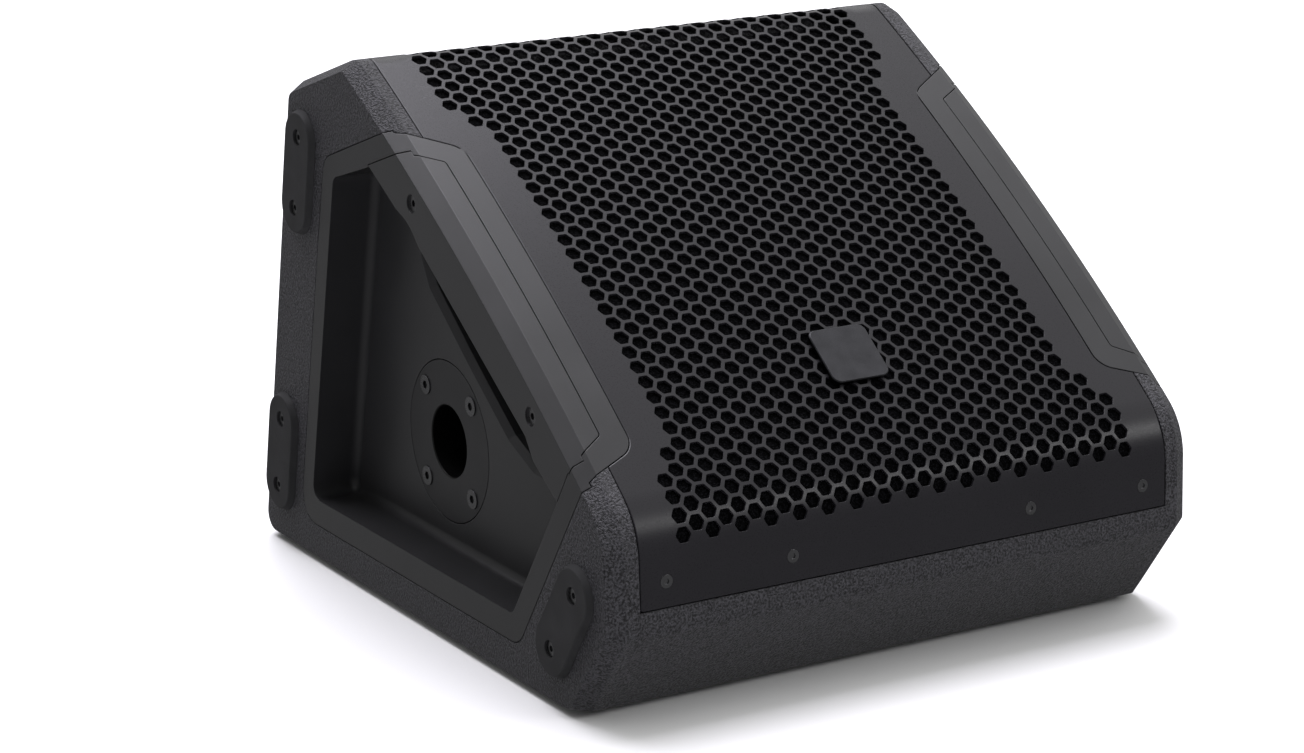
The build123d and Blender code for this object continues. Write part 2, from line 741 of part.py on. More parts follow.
pole_plane = Plane(origin=(-floor_x, pole_y, pole_z), x_dir=(0, -1, 0), z_dir=(-1, 0, 0))
pole_flange_thick = 4.0
pole_screw_planes = []
for across in (-pole_screw_spacing / 2, pole_screw_spacing / 2):
    for up in (-pole_screw_spacing / 2, pole_screw_spacing / 2):
        origin = pole_plane.from_local_coords(Vector(across, up, 0.6))
        pole_screw_planes.append(Plane(origin=origin, x_dir=(0, -1, 0), z_dir=(-1, 0, 0)))


def pole_screw_shapes(drive=0.0):
    return screw_set(pole_screw_planes, 4.9, 2.4, 2.3, 11.0, drive)


with BuildPart() as side_frame_left:
    mirror(right_frame_shape, about=Plane.YZ)
    add(rod(pole_plane.offset(-frame_wall - 6), 46, 7))
    add(rod(pole_plane.offset(-pole_flange_thick), pole_flange_radius + gap, 10), mode=Mode.SUBTRACT)
    add(rod(pole_plane.offset(-20), 22.6, 30), mode=Mode.SUBTRACT)
    add(pole_screw_shapes(), mode=Mode.SUBTRACT)
save(side_frame_left, "side_frame_left")

with BuildPart() as pole_socket:
    with BuildSketch(pole_plane.offset(-pole_flange_thick)):
        Circle(pole_flange_radius)
    extrude(amount=pole_flange_thick)
    with BuildSketch(pole_plane.offset(-pole_depth - 3)):
        Circle(pole_bore_radius + 4)
    extrude(amount=pole_depth + 2)
    with BuildSketch(pole_plane):
        Circle(pole_bore_radius)
    extrude(amount=-pole_depth, mode=Mode.SUBTRACT)
    mouth = pole_socket.edges().filter_by(GeomType.CIRCLE).group_by(Axis.X)[0].sort_by(SortBy.RADIUS)[0]
    chamfer(mouth, 0.5)
    add(pole_screw_shapes(), mode=Mode.SUBTRACT)
save(pole_socket, "pole_socket")

with BuildPart() as pole_socket_screws:
    add(pole_screw_shapes(drive=2.2))
save(pole_socket_screws, "pole_socket_screws")

# ---------------------------------------------------------------- connection panel on the right
panel_plane = side_plane(panel_y, panel_z, floor_x)
upper_row, lower_row = 18.0, -14.0
latch_v = lower_row + 11.6
input_u, link_u, inlet_u = -48.0, -16.0, 33.0
knob_u, button_u, switch_u = -48.0, -22.0, 44.0
light_us = (-4.0, 5.0, 14.0)


def panel_at(u, v, lift=0.0):
    """Plane on the connection panel at u along +Y and v up, lifted off its face."""
    return side_plane(panel_y + u, panel_z + v, floor_x + lift)


def panel_screw_shapes(drive=0.0):
    spots = [(u, v) for u in (-65.4, 0, 65.4) for v in (-31.4, 31.4)]
    return screw_set([panel_at(u, v, 0.9) for u, v in spots], 2.2, 1.4, 1.25, 7.5, drive)


def socket_screw_shapes(drive=0.0):
    spots = [(u - 9.5, lower_row + 12.0) for u in (input_u, link_u)]
    spots += [(u + 9.5, lower_row - 12.0) for u in (input_u, link_u)]
    spots += [(inlet_u - 20, lower_row), (inlet_u + 20, lower_row)]
    return screw_set([panel_at(u, v, 2.6) for u, v in spots], 2.3, 1.1, 1.3, 5.0, drive)


with BuildPart() as side_frame_right:
    add(right_frame_shape)
    add(box(panel_plane.offset(-frame_wall - 5), panel_long + 14, panel_high + 14, 6))
    add(box(panel_plane.offset(-panel_sheet), panel_long + 2 * gap, panel_high + 2 * gap, 10),
        mode=Mode.SUBTRACT)
    add(box(panel_plane.offset(-20), panel_long - 10, panel_high - 10, 30), mode=Mode.SUBTRACT)
    add(panel_screw_shapes(), mode=Mode.SUBTRACT)
save(side_frame_right, "side_frame_right")

with BuildPart() as connection_panel:
    add(box(panel_plane.offset(-panel_sheet), panel_long, panel_high, panel_sheet))
    for u in (input_u, link_u):
        add(rod(panel_at(u, lower_row, -5), 11.9, 10), mode=Mode.SUBTRACT)
    add(box(panel_at(inlet_u, lower_row, -5), 28.4, 20.4, 10), mode=Mode.SUBTRACT)
    add(box(panel_at(switch_u, upper_row, -5), 19.4, 13.4, 10), mode=Mode.SUBTRACT)
    add(rod(panel_at(knob_u, upper_row, -5), 3.6, 10), mode=Mode.SUBTRACT)
    add(rod(panel_at(button_u, upper_row, -5), 4.4, 10), mode=Mode.SUBTRACT)
    for u in light_us:
        add(rod(panel_at(u, upper_row, -5), 1.55, 10), mode=Mode.SUBTRACT)
    add(box(panel_at(input_u, latch_v, -5), 7.0, 3.6, 10), mode=Mode.SUBTRACT)
    add(panel_screw_shapes(), mode=Mode.SUBTRACT)
    add(socket_screw_shapes(), mode=Mode.SUBTRACT)
save(connection_panel, "connection_panel")

with BuildPart() as panel_screws:
    add(panel_screw_shapes(drive=1.0))
    add(socket_screw_shapes(drive=1.0))
save(panel_screws, "panel_screws")

barrel_radius, barrel_depth = 11.7, 21.0
with BuildPart() as input_socket:
    add(box(panel_at(input_u, lower_row), 26, 31, 1.5))
    add(rod(panel_at(input_u, lower_row, -barrel_depth), barrel_radius, barrel_depth + 0.5))
    add(rod(panel_at(input_u, lower_row, -13), 9.4, 20), mode=Mode.SUBTRACT)
    add(rod(panel_at(input_u, lower_row, -14), 8.0, 14.5))
    add(rod(panel_at(input_u, lower_row, -18), 3.3, 30), mode=Mode.SUBTRACT)
    for angle in (90, 210, 330):
        u, v = ahead((input_u, lower_row), angle, 5.6)
        add(rod(panel_at(u, v, -11), 1.25, 20), mode=Mode.SUBTRACT)
    add(box(panel_at(input_u, latch_v, -4), 7.0, 3.6, 10), mode=Mode.SUBTRACT)
    add(socket_screw_shapes(), mode=Mode.SUBTRACT)
save(input_socket, "input_socket")

with BuildPart() as input_latch:
    add(box(panel_at(input_u, latch_v, -0.6), 6.2, 2.8, 3.6))
save(input_latch, "input_latch")

with BuildPart() as link_socket:
    add(box(panel_at(link_u, lower_row), 26, 31, 1.5))
    add(rod(panel_at(link_u, lower_row, -barrel_depth), barrel_radius, barrel_depth + 0.5))
    add(rod(panel_at(link_u, lower_row, -14), 9.4, 20), mode=Mode.SUBTRACT)
    for angle in (270, 30, 150):
        u, v = ahead((link_u, lower_row), angle, 4.2)
        add(rod(panel_at(u, v, -16), 1.2, 13))
    add(socket_screw_shapes(), mode=Mode.SUBTRACT)
save(link_socket, "link_socket")

with BuildPart() as mains_inlet:
    add(box(panel_at(inlet_u, lower_row), 50, 24, 1.5))
    add(box(panel_at(inlet_u, lower_row, -24), 28, 20, 24.5))
    add(box(panel_at(inlet_u, lower_row, -16), 24.6, 16.6, 20), mode=Mode.SUBTRACT)
    for u, v in ((-7, -2), (0, 2), (7, -2)):
        add(box(panel_at(inlet_u + u, lower_row + v, -18), 2.0, 4.0, 15))
    add(socket_screw_shapes(), mode=Mode.SUBTRACT)
save(mains_inlet, "mains_inlet")

with BuildPart() as status_lights:
    for u in light_us:
        add(rod(panel_at(u, upper_row, -8), 1.5, 8.8))
save(status_lights, "status_lights")

shaft_radius = 3.0
with BuildPart() as level_potentiometer:
    add(box(panel_at(knob_u, upper_row, -11), 13, 13, 9))
    add(rod(panel_at(knob_u, upper_row, -2), 3.5, 2.6))
    add(rod(panel_at(knob_u, upper_row, -10), shaft_radius + 0.05, 20), mode=Mode.SUBTRACT)
save(level_potentiometer, "level_potentiometer")

with BuildPart() as level_knob:
    add(rod(panel_at(knob_u, upper_row, -9), shaft_radius, 12))
    with BuildSketch(panel_at(knob_u, upper_row, 1.2)):
        Circle(8.5)
        with PolarLocations(8.7, 16):
            Circle(0.7, mode=Mode.SUBTRACT)
    extrude(amount=12, taper=3)
    add(box(panel_at(knob_u, upper_row + 5.2, 12.6), 1.2, 5.0, 2), mode=Mode.SUBTRACT)
save(level_knob, "level_knob")

with BuildPart() as preset_button:
    add(rod(panel_at(button_u, upper_row, -7), 2.2, 8))
    add(rod(panel_at(button_u, upper_row, -1.6), 4.0, 4.2))
    fillet(preset_button.faces().sort_by(Axis.X)[-1].edges(), 0.6)
save(preset_button, "preset_button")

rocker_plane = Plane(origin=(floor_x - 1.0, panel_y + switch_u, panel_z + upper_row))
rocker_height, rocker_pin_radius, rocker_pin_reach = 9.4, 1.0, 5.9

with BuildPart() as switch_housing:
    add(box(panel_at(switch_u, upper_row), 22, 16, 1.4))
    add(box(panel_at(switch_u, upper_row, -15), 19, 13, 15.5))
    add(box(panel_at(switch_u, upper_row, -8.5), 15.2, 10.2, 20), mode=Mode.SUBTRACT)
    bearing_reach = rocker_pin_reach + 0.1
    add(rod(rocker_plane.offset(-bearing_reach), rocker_pin_radius + 0.05, 2 * bearing_reach),
        mode=Mode.SUBTRACT)
save(switch_housing, "switch_housing")

with BuildPart() as power_switch:
    with BuildSketch(rocker_plane):
        Polygon((-3.4, -3.2), (-3.4, 3.2), (0.8, 6.5), (4.2, 6.1), (2.7, 0), (2.0, -6.2), (-0.6, -6.5),
                align=None)
    extrude(amount=rocker_height / 2, both=True)
    add(rod(rocker_plane.offset(-rocker_pin_reach), rocker_pin_radius, 2 * rocker_pin_reach))
save(power_switch, "power_switch")

# ---------------------------------------------------------------- electronics behind the panel
board_x = 108.0
stand_spots = [(u, v) for u in (-58, -2, 10, 57) for v in (-26, 26)]

with BuildPart() as board_standoffs:
    for u, v in stand_spots:
        stand = panel_at(u, v, board_x + 1.6 - floor_x)
        add(rod(stand, 2.5, floor_x - panel_sheet - board_x - 1.6))
save(board_standoffs, "board_standoffs")

with BuildPart() as amplifier_board:
    add(box(side_plane(-4, panel_z, board_x), 68, 60, 1.6))
    for y, z, wide, high, tall in ((-17, 64, 12, 18, 8), (-4, 97, 24, 9, 9), (14, 68, 10, 12, 7)):
        add(box(side_plane(y, z, board_x - tall), wide, high, tall + 0.2))
save(amplifier_board, "amplifier_board")

with BuildPart() as power_supply_board:
    add(box(side_plane(63, panel_z, board_x), 58, 60, 1.6))
    add(box(side_plane(54, 66, board_x - 22), 30, 26, 22.2))
    for y, z in ((44, 96), (58, 96), (72, 96)):
        add(rod(side_plane(y, z, board_x - 24), 5.5, 24.2))
    add(box(side_plane(82, 66, board_x - 12), 12, 20, 12.2))
save(power_supply_board, "power_supply_board")

with BuildPart() as heatsink:
    add(box(side_plane(-4, panel_z, board_x - 14), 60, 52, 4))
    for index in range(8):
        add(box(side_plane(-4 - 28 + 8 * index, panel_z, board_x - 28), 2, 52, 14.2))
    for y in (-30, 22):
        for z in (56, 98):
            add(rod(side_plane(y, z, board_x - 10.2), 2.5, 10.2))
save(heatsink, "heatsink")

lead_x, lead_y = 72.6, -27.0
with BuildPart() as driver_lead:
    with BuildLine() as route:
        FilletPolyline((106.8, lead_y - 6, 106), (96, lead_y - 4, 113), (82, lead_y - 1, 116),
                       (lead_x, lead_y, 127), radius=9)
    with BuildSketch(Plane(origin=route.line @ 0, z_dir=route.line % 0)):
        Circle(1.8)
    sweep()
save(driver_lead, "driver_lead")
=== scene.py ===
import json
import math

import bmesh
import bpy
from mathutils import Matrix, Vector
from mathutils.geometry import delaunay_2d_cdt
from mathutils.kdtree import KDTree


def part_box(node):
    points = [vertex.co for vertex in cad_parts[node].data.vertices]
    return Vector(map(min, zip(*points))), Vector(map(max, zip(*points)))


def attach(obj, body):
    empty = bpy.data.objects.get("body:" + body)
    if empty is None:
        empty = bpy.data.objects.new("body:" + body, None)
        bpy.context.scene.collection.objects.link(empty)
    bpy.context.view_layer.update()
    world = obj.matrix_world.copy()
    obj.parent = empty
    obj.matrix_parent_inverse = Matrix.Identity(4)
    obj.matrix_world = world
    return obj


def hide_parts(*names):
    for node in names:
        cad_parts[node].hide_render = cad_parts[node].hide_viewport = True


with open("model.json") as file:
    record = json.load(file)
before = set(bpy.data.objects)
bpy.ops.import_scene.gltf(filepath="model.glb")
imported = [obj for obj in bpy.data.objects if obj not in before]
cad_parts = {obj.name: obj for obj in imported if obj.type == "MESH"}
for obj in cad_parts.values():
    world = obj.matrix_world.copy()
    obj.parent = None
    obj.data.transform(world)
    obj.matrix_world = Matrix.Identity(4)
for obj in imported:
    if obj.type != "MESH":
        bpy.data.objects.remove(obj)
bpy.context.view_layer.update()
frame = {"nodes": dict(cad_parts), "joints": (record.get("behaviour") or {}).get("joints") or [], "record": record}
nodes = frame["nodes"]
mm = 0.001

# The stage monitor wedge: the perforated grille, its foam and the level scale are made here around
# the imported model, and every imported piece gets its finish. X runs across, -Y is the front, Z is up.


# ---------------------------------------------------------------- camera
camera_place = Vector((-0.9015, -1.4478, 0.5773))
camera_heading = Vector((0.49609, 0.82602, -0.26756))
camera_roll = math.radians(0.328)
camera_lens = 96.66


def make_camera():
    """The photograph's view."""
    data = bpy.data.cameras.new("camera")
    data.lens = camera_lens
    data.sensor_width = 36.0
    data.clip_start, data.clip_end = 0.05, 60.0
    camera = bpy.data.objects.new("camera", data)
    bpy.context.scene.collection.objects.link(camera)
    level = camera_heading.to_track_quat("-Z", "Y").to_matrix().to_4x4()
    camera.matrix_world = (Matrix.Translation(camera_place)
                           @ Matrix.Rotation(camera_roll, 4, camera_heading) @ level)
    bpy.context.scene.camera = camera


make_camera()


# ---------------------------------------------------------------- materials
class Finish:
    """A node material whose patterns lie in the object's own metres."""

    def __init__(self, name, colour, roughness, metallic=0.0, specular=0.5, edge=0.0):
        self.material = bpy.data.materials.new(name)
        self.material.use_nodes = True
        self.tree = self.material.node_tree
        self.shader = self.tree.nodes["Principled BSDF"]
        self.shader.inputs["Base Color"].default_value = (*colour, 1.0)
        self.shader.inputs["Roughness"].default_value = roughness
        self.shader.inputs["Metallic"].default_value = metallic
        self.shader.inputs["Specular IOR Level"].default_value = specular
        self.colour = colour
        self.roughness = roughness
        self.place = self.node("ShaderNodeTexCoord").outputs["Object"]
        self.normal = None
        if edge:
            rounding = self.node("ShaderNodeBevel", samples=6)
            rounding.inputs["Radius"].default_value = edge
            self.normal = rounding.outputs["Normal"]
            self.link(self.normal, self.shader.inputs["Normal"])

    def node(self, kind, **settings):
        made = self.tree.nodes.new(kind)
        for key, value in settings.items():
            setattr(made, key, value)
        return made

    def link(self, output, socket):
        self.tree.links.new(output, socket)

    def stretched(self, stretch):
        """The place, scaled along each axis, for patterns that run one way."""
        mapping = self.node("ShaderNodeMapping")
        mapping.inputs["Scale"].default_value = stretch
        self.link(self.place, mapping.inputs["Vector"])
        return mapping.outputs["Vector"]

    def noise(self, size, detail=2.0, rough=0.5, stretch=None):
        """Noise whose features are about a size in metres."""
        made = self.node("ShaderNodeTexNoise")
        made.inputs["Scale"].default_value = 0.5 / size
        made.inputs["Detail"].default_value = detail
        made.inputs["Roughness"].default_value = rough
        self.link(self.stretched(stretch) if stretch else self.place, made.inputs["Vector"])
        return made.outputs["Fac"]

    def cells(self, size):
        """Cell distance, for open-cell surfaces."""
        made = self.node("ShaderNodeTexVoronoi")
        made.inputs["Scale"].default_value = 1.0 / size
        self.link(self.place, made.inputs["Vector"])
        return made.outputs["Distance"]

    def spread(self, value, low, high, start=0.3, end=0.7):
        """A pattern's middle range stretched to a low and a high value."""
        made = self.node("ShaderNodeMapRange")
        for socket, number in zip(("From Min", "From Max", "To Min", "To Max"), (start, end, low, high)):
            made.inputs[socket].default_value = number
        self.link(value, made.inputs["Value"])
        return made.outputs["Result"]

    def math(self, operation, first, second):
        made = self.node("ShaderNodeMath", operation=operation)
        for socket, value in zip(made.inputs, (first, second)):
            if isinstance(value, (int, float)):
                socket.default_value = value
            else:
                self.link(value, socket)
        return made.outputs["Value"]

    def tint(self, pattern, low, high, start=0.3, end=0.7):
        """Colour that runs from low to high times the base with a pattern."""
        ramp = self.node("ShaderNodeValToRGB")
        ramp.color_ramp.elements[0].position = start
        ramp.color_ramp.elements[1].position = end
        ramp.color_ramp.elements[0].color = (*[c * low for c in self.colour], 1.0)
        ramp.color_ramp.elements[1].color = (*[c * high for c in self.colour], 1.0)
        self.link(pattern, ramp.inputs["Fac"])
        self.link(ramp.outputs["Color"], self.shader.inputs["Base Color"])

    def gloss(self, pattern, swing, start=0.3, end=0.7):
        """Roughness that swings about its base with a pattern."""
        self.link(self.spread(pattern, self.roughness - swing, self.roughness + swing, start, end),
                  self.shader.inputs["Roughness"])

    def relief(self, pattern, height):
        """Bump of a height in metres from a pattern between 0 and 1."""
        bump = self.node("ShaderNodeBump")
        bump.inputs["Distance"].default_value = height
        self.link(pattern, bump.inputs["Height"])
        if self.normal:
            self.link(self.normal, bump.inputs["Normal"])
        self.normal = bump.outputs["Normal"]
        self.link(self.normal, self.shader.inputs["Normal"])


def painted_wood():
    """Structured black paint over plywood: pebbles of about half a millimetre."""
    finish = Finish("painted_wood", (0.028, 0.0275, 0.031), 0.5, specular=0.25, edge=1.2 * mm)
    pebbles = finish.noise(0.55 * mm, 2.0, 0.5)
    fine = finish.noise(0.25 * mm, 2.0, 0.6)
    finish.tint(pebbles, 0.35, 1.75, 0.38, 0.62)
    finish.gloss(fine, 0.12)
    finish.relief(finish.math("ADD", pebbles, finish.math("MULTIPLY", fine, 0.3)), 1.6 * mm)
    return finish


def moulded(name, colour, roughness, edge=0.5 * mm, specular=0.25):
    """Moulded plastic with a fine spark-eroded grain."""
    finish = Finish(name, colour, roughness, specular=specular, edge=edge)
    grain = finish.noise(0.18 * mm, 2.0, 0.6)
    cloud = finish.noise(22 * mm, 3.0)
    finish.tint(cloud, 0.9, 1.1)
    finish.gloss(cloud, 0.04)
    finish.relief(grain, 0.035 * mm)
    return finish


def plastic_with_painted_bore_shade(name, colour, roughness, centre, radius):
    """Moulded plastic with painted shade: its colour falls to a twentieth inside a bore that runs along X."""
    finish = moulded(name, colour, roughness, 0.3 * mm)
    reach = finish.node("ShaderNodeVectorMath", operation="DISTANCE")
    finish.link(finish.stretched((0, 1, 1)), reach.inputs[0])
    reach.inputs[1].default_value = (0, centre[1], centre[2])
    # painted shade: inside the bore's radius the colour is a twentieth of the plastic's, rising back to full over
    # half a millimetre
    wall = finish.spread(reach.outputs["Value"], 0, 1, radius, radius + 0.5 * mm)
    finish.tint(wall, 0.05, 1.0, 0, 1)
    return finish


def coated_metal(name, colour, roughness, specular, grain=0.3 * mm, height=0.02 * mm, edge=0.0):
    """Powder-coated sheet with a faint orange peel."""
    finish = Finish(name, colour, roughness, specular=specular, edge=edge)
    peel = finish.noise(grain, 2.0, 0.5)
    cloud = finish.noise(30 * mm, 2.0)
    finish.tint(cloud, 0.94, 1.06)
    finish.gloss(peel, 0.05)
    finish.relief(peel, height)
    return finish


def open_foam(name, colour):
    """Reticulated foam: dark cells of about a millimetre between thin struts."""
    finish = Finish(name, colour, 0.95, specular=0.02)
    cells = finish.cells(1.1 * mm)
    finish.tint(cells, 1.6, 0.35, 0.2, 0.6)
    finish.relief(finish.math("ADD", cells, finish.noise(0.4 * mm, 3.0)), -0.6 * mm)
    return finish


def soft_rubber(name, colour, roughness=0.75):
    """Matt rubber with a dusty bloom."""
    finish = Finish(name, colour, roughness, specular=0.25, edge=0.4 * mm)
    finish.tint(finish.noise(6 * mm, 4.0, 0.6), 0.85, 1.25)
    finish.gloss(finish.noise(3 * mm, 3.0), 0.06)
    finish.relief(finish.noise(0.25 * mm, 2.0), 0.03 * mm)
    return finish


def bare_metal(name, colour, roughness, streak=(1, 1, 1), edge=0.2 * mm):
    """Plain or brushed metal; the streak stretches its scratches."""
    finish = Finish(name, colour, roughness, metallic=1.0, edge=edge)
    scratches = finish.noise(0.25 * mm, 3.0, 0.6, streak)
    finish.tint(finish.noise(4 * mm, 3.0), 0.85, 1.15)
    finish.gloss(scratches, 0.08)
    finish.relief(scratches, 0.008 * mm)
    return finish


def circuit_board():
    """Green solder mask over copper tracks."""
    finish = Finish("circuit_board", (0.012, 0.10, 0.045), 0.35, specular=0.5)
    brick = finish.node("ShaderNodeTexBrick")
    turned = finish.node("ShaderNodeMapping")
    turned.inputs["Rotation"].default_value = (0, math.radians(90), 0)
    finish.link(finish.place, turned.inputs["Vector"])
    finish.link(turned.outputs["Vector"], brick.inputs["Vector"])
    brick.inputs["Scale"].default_value = 160
    brick.inputs["Mortar Size"].default_value = 0.06
    finish.tint(brick.outputs["Fac"], 1.0, 1.8)
    finish.relief(brick.outputs["Fac"], 0.03 * mm)
    return finish


def pressed_paper():
    """Coated pulp with a felted grain."""
    finish = Finish("cone_paper", (0.020, 0.020, 0.021), 0.8, specular=0.25)
    fibres = finish.noise(0.6 * mm, 5.0, 0.7, (1, 2.5, 1))
    finish.tint(fibres, 0.7, 1.4)
    finish.relief(fibres, 0.12 * mm)
    return finish


def wound_copper():
    """Enamelled wire in close turns."""
    finish = Finish("copper", (0.60, 0.27, 0.12), 0.3, metallic=1.0)
    turns = finish.node("ShaderNodeTexWave", bands_direction="Z")
    turns.inputs["Scale"].default_value = 600
    finish.link(finish.place, turns.inputs["Vector"])
    finish.tint(turns.outputs["Fac"], 0.6, 1.1)
    finish.relief(turns.outputs["Fac"], 0.1 * mm)
    return finish


def light_lens():
    """A diffusing green lens, unlit."""
    finish = Finish("light_lens", (0.05, 0.30, 0.08), 0.25, specular=0.5)
    finish.shader.inputs["Transmission Weight"].default_value = 0.4
    finish.tint(finish.noise(0.5 * mm), 0.8, 1.3)
    finish.relief(finish.noise(0.3 * mm), 0.02 * mm)
    return finish


finishes = {
    "painted_wood": painted_wood(),
    "frame_plastic": moulded("frame_plastic", (0.017, 0.017, 0.018), 0.36),
    "handle_plastic": moulded("handle_plastic", (0.018, 0.018, 0.019), 0.36),
    "grille_metal": coated_metal("grille_metal", (0.011, 0.0105, 0.0125), 0.30, 0.2),
    "foam": open_foam("foam", (0.003, 0.003, 0.0035)),
    "rubber": soft_rubber("rubber", (0.016, 0.016, 0.017)),
    "black_steel": bare_metal("black_steel", (0.11, 0.11, 0.115), 0.30),
    "badge_metal": bare_metal("badge_metal", (0.034, 0.034, 0.037), 0.30, (1, 14, 14), 0.3 * mm),
    "socket_plastic": moulded("socket_plastic", (0.015, 0.015, 0.016), 0.42, 0.3 * mm),
    "cast_basket": coated_metal("cast_basket", (0.022, 0.022, 0.023), 0.5, 0.5, 0.8 * mm, 0.1 * mm),
    "cone_paper": pressed_paper(),
    "surround_rubber": soft_rubber("surround_rubber", (0.018, 0.018, 0.019), 0.55),
    "ferrite": coated_metal("ferrite", (0.045, 0.045, 0.048), 0.6, 0.5, 0.5 * mm, 0.05 * mm),
    "zinc_steel": bare_metal("zinc_steel", (0.55, 0.56, 0.58), 0.3),
    "copper": wound_copper(),
    "panel_metal": coated_metal("panel_metal", (0.016, 0.016, 0.017), 0.5, 0.5, 0.5 * mm, 0.05 * mm,
                                0.3 * mm),
    "circuit_board": circuit_board(),
    "heatsink_metal": bare_metal("heatsink_metal", (0.60, 0.61, 0.62), 0.38, (1, 1, 12)),
    "knob_plastic": moulded("knob_plastic", (0.020, 0.020, 0.021), 0.42, 0.3 * mm),
    "light_lens": light_lens(),
    "lead_jacket": soft_rubber("lead_jacket", (0.018, 0.018, 0.019), 0.5),
}

for subpart in frame["record"]["subparts"]:
    node = nodes[subpart["node"]]
    node.data.materials.clear()
    node.data.materials.append(finishes[subpart["material_slot"]].material)

# the pole socket is darkened inside this radius as painted shade in its bore
bore_shade_radius = 18.4 * mm
pole_mount = next(mount for mount in frame["record"]["mounts"] if "pole" in mount["name"])
pole_finish = plastic_with_painted_bore_shade("pole_socket_plastic", (0.015, 0.015, 0.016), 0.42,
                            pole_mount["pos_m"], bore_shade_radius)
nodes["pole_socket"].data.materials[0] = pole_finish.material


# ---------------------------------------------------------------- the grille's bent surface
sheet = 1.5 * mm
grille_low, grille_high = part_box("grille")
half_width = grille_high.x
flat_angle = math.radians(87.9)
top_angle = math.radians(-18.847)
nose_radius, nose_turn = 39.3 * mm, math.radians(48.6)
slope_radius, slope_turn = 1514 * mm, math.radians(10.93)
bend_radius = 13 * mm
flat_length = 21.9 * mm
return_length = 27 * mm
slope_end_angle = flat_angle - nose_turn - slope_turn
bend_tangent = bend_radius * math.tan((slope_end_angle - top_angle) / 2)
slope_cut = bend_tangent / slope_radius

# Each stretch of the side profile: its length and the turn it makes, from the lower edge up.
stretches = [
    (flat_length, 0.0),
    (nose_radius * nose_turn, nose_turn),
    (slope_radius * (slope_turn - slope_cut), slope_turn - slope_cut),
    (bend_radius * (slope_end_angle + slope_cut - top_angle), slope_end_angle + slope_cut - top_angle),
    (return_length - bend_tangent, 0.0),
]
profile_length = sum(length for length, turn in stretches)
slope_low = stretches[0][0] + stretches[1][0]
slope_high = slope_low + stretches[2][0]
slope_middle = slope_low + slope_radius * slope_turn / 2


def profile(s):
    """(Y, Z, heading) of the grille's face at a distance from its lower edge along the sheet."""
    y, z, heading = grille_low.y, grille_low.z, flat_angle
    for length, turn in stretches:
        part = min(max(s, 0.0), length)
        if turn:
            radius = length / turn
            swept = part / radius
            step = 2 * radius * math.sin(swept / 2)
            y += step * math.cos(heading - swept / 2)
            z += step * math.sin(heading - swept / 2)
            heading -= swept
        else:
            y += part * math.cos(heading)
            z += part * math.sin(heading)
        s -= length
        if s <= 0:
            break
    return y, z, heading


def on_sheet(x, s, depth=0.0):
    """The point at x and s on the sheet, and down into it."""
    y, z, heading = profile(s)
    return Vector((x, y + depth * math.sin(heading), z - depth * math.cos(heading)))


def sheet_normal(s):
    heading = profile(s)[2]
    return Vector((0.0, -math.sin(heading), math.cos(heading)))


def along_chord(along):
    """Distance along the sheet of a point given along the slope's chord."""
    return slope_middle + slope_radius * math.asin(along / slope_radius)


# ---------------------------------------------------------------- outlines in (x, s)
def rounded(corners, radii, steps=6):
    """A closed outline through corners, each turned with a radius."""
    outline = []
    count = len(corners)
    for index, corner in enumerate(corners):
        here, radius = Vector(corner), radii[index]
        before = (Vector(corners[index - 1]) - here).normalized()
        after = (Vector(corners[(index + 1) % count]) - here).normalized()
        if radius <= 0:
            outline.append(here)
            continue
        half = before.angle(after) / 2
        centre = here + (before + after).normalized() * (radius / math.sin(half))
        start = here + before * (radius / math.tan(half)) - centre
        sweep = start.angle_signed(here + after * (radius / math.tan(half)) - centre)
        for step in range(steps + 1):
            turn = Matrix.Rotation(-sweep * step / steps, 2)
            outline.append(centre + turn @ start)
    return outline


def divided(outline, longest):
    """The same closed outline with no edge longer than a length."""
    points = []
    for index, start in enumerate(outline):
        end = outline[(index + 1) % len(outline)]
        pieces = max(1, math.ceil((end - start).length / longest))
        points += [start.lerp(end, step / pieces) for step in range(pieces)]
    return points


def shifted(outline, distance):
    """A counter-clockwise outline moved outwards by a distance."""
    moved = []
    for index, point in enumerate(outline):
        before = (point - outline[index - 1]).normalized()
        after = (outline[(index + 1) % len(outline)] - point).normalized()
        along = (before + after).normalized()
        grow = 1.0 / max(0.5, math.sqrt((1 + before.dot(after)) / 2))
        moved.append(point + Vector((along.y, -along.x)) * distance * grow)
    return moved


# Where the side frames wrap on to the slope: their inner edge, its two ends along the slope's chord,
# the rise of the upper and lower edges outwards, and the corner radius
wrap_edge = 132.2 * mm
wrap_high, wrap_low = 71.1 * mm, -120.7 * mm
upper_rise, lower_rise = 14.6 / 23.7, -17.6 / 39.8
wrap_corner, sheet_corner = 11 * mm, 1.5 * mm


def notched(half, low, high, clearance):
    """Outline of a sheet that steps back around the two side frames."""
    inner = wrap_edge - clearance

    def upper(x):
        lift = clearance * math.hypot(1, upper_rise)
        return along_chord(wrap_high + upper_rise * (x - wrap_edge) + lift)

    def lower(x):
        lift = clearance * math.hypot(1, lower_rise)
        return along_chord(wrap_low + lower_rise * (x - wrap_edge) - lift)

    corner = wrap_corner + clearance
    right = [(half, low), (half, lower(half)), (inner, lower(inner)), (inner, upper(inner)),
             (half, upper(half)), (half, high)]
    left = [(-x, s) for x, s in reversed(right)]
    turns = [sheet_corner, 0, corner, corner, 0, sheet_corner]
    return rounded(right + left, turns + turns[::-1])


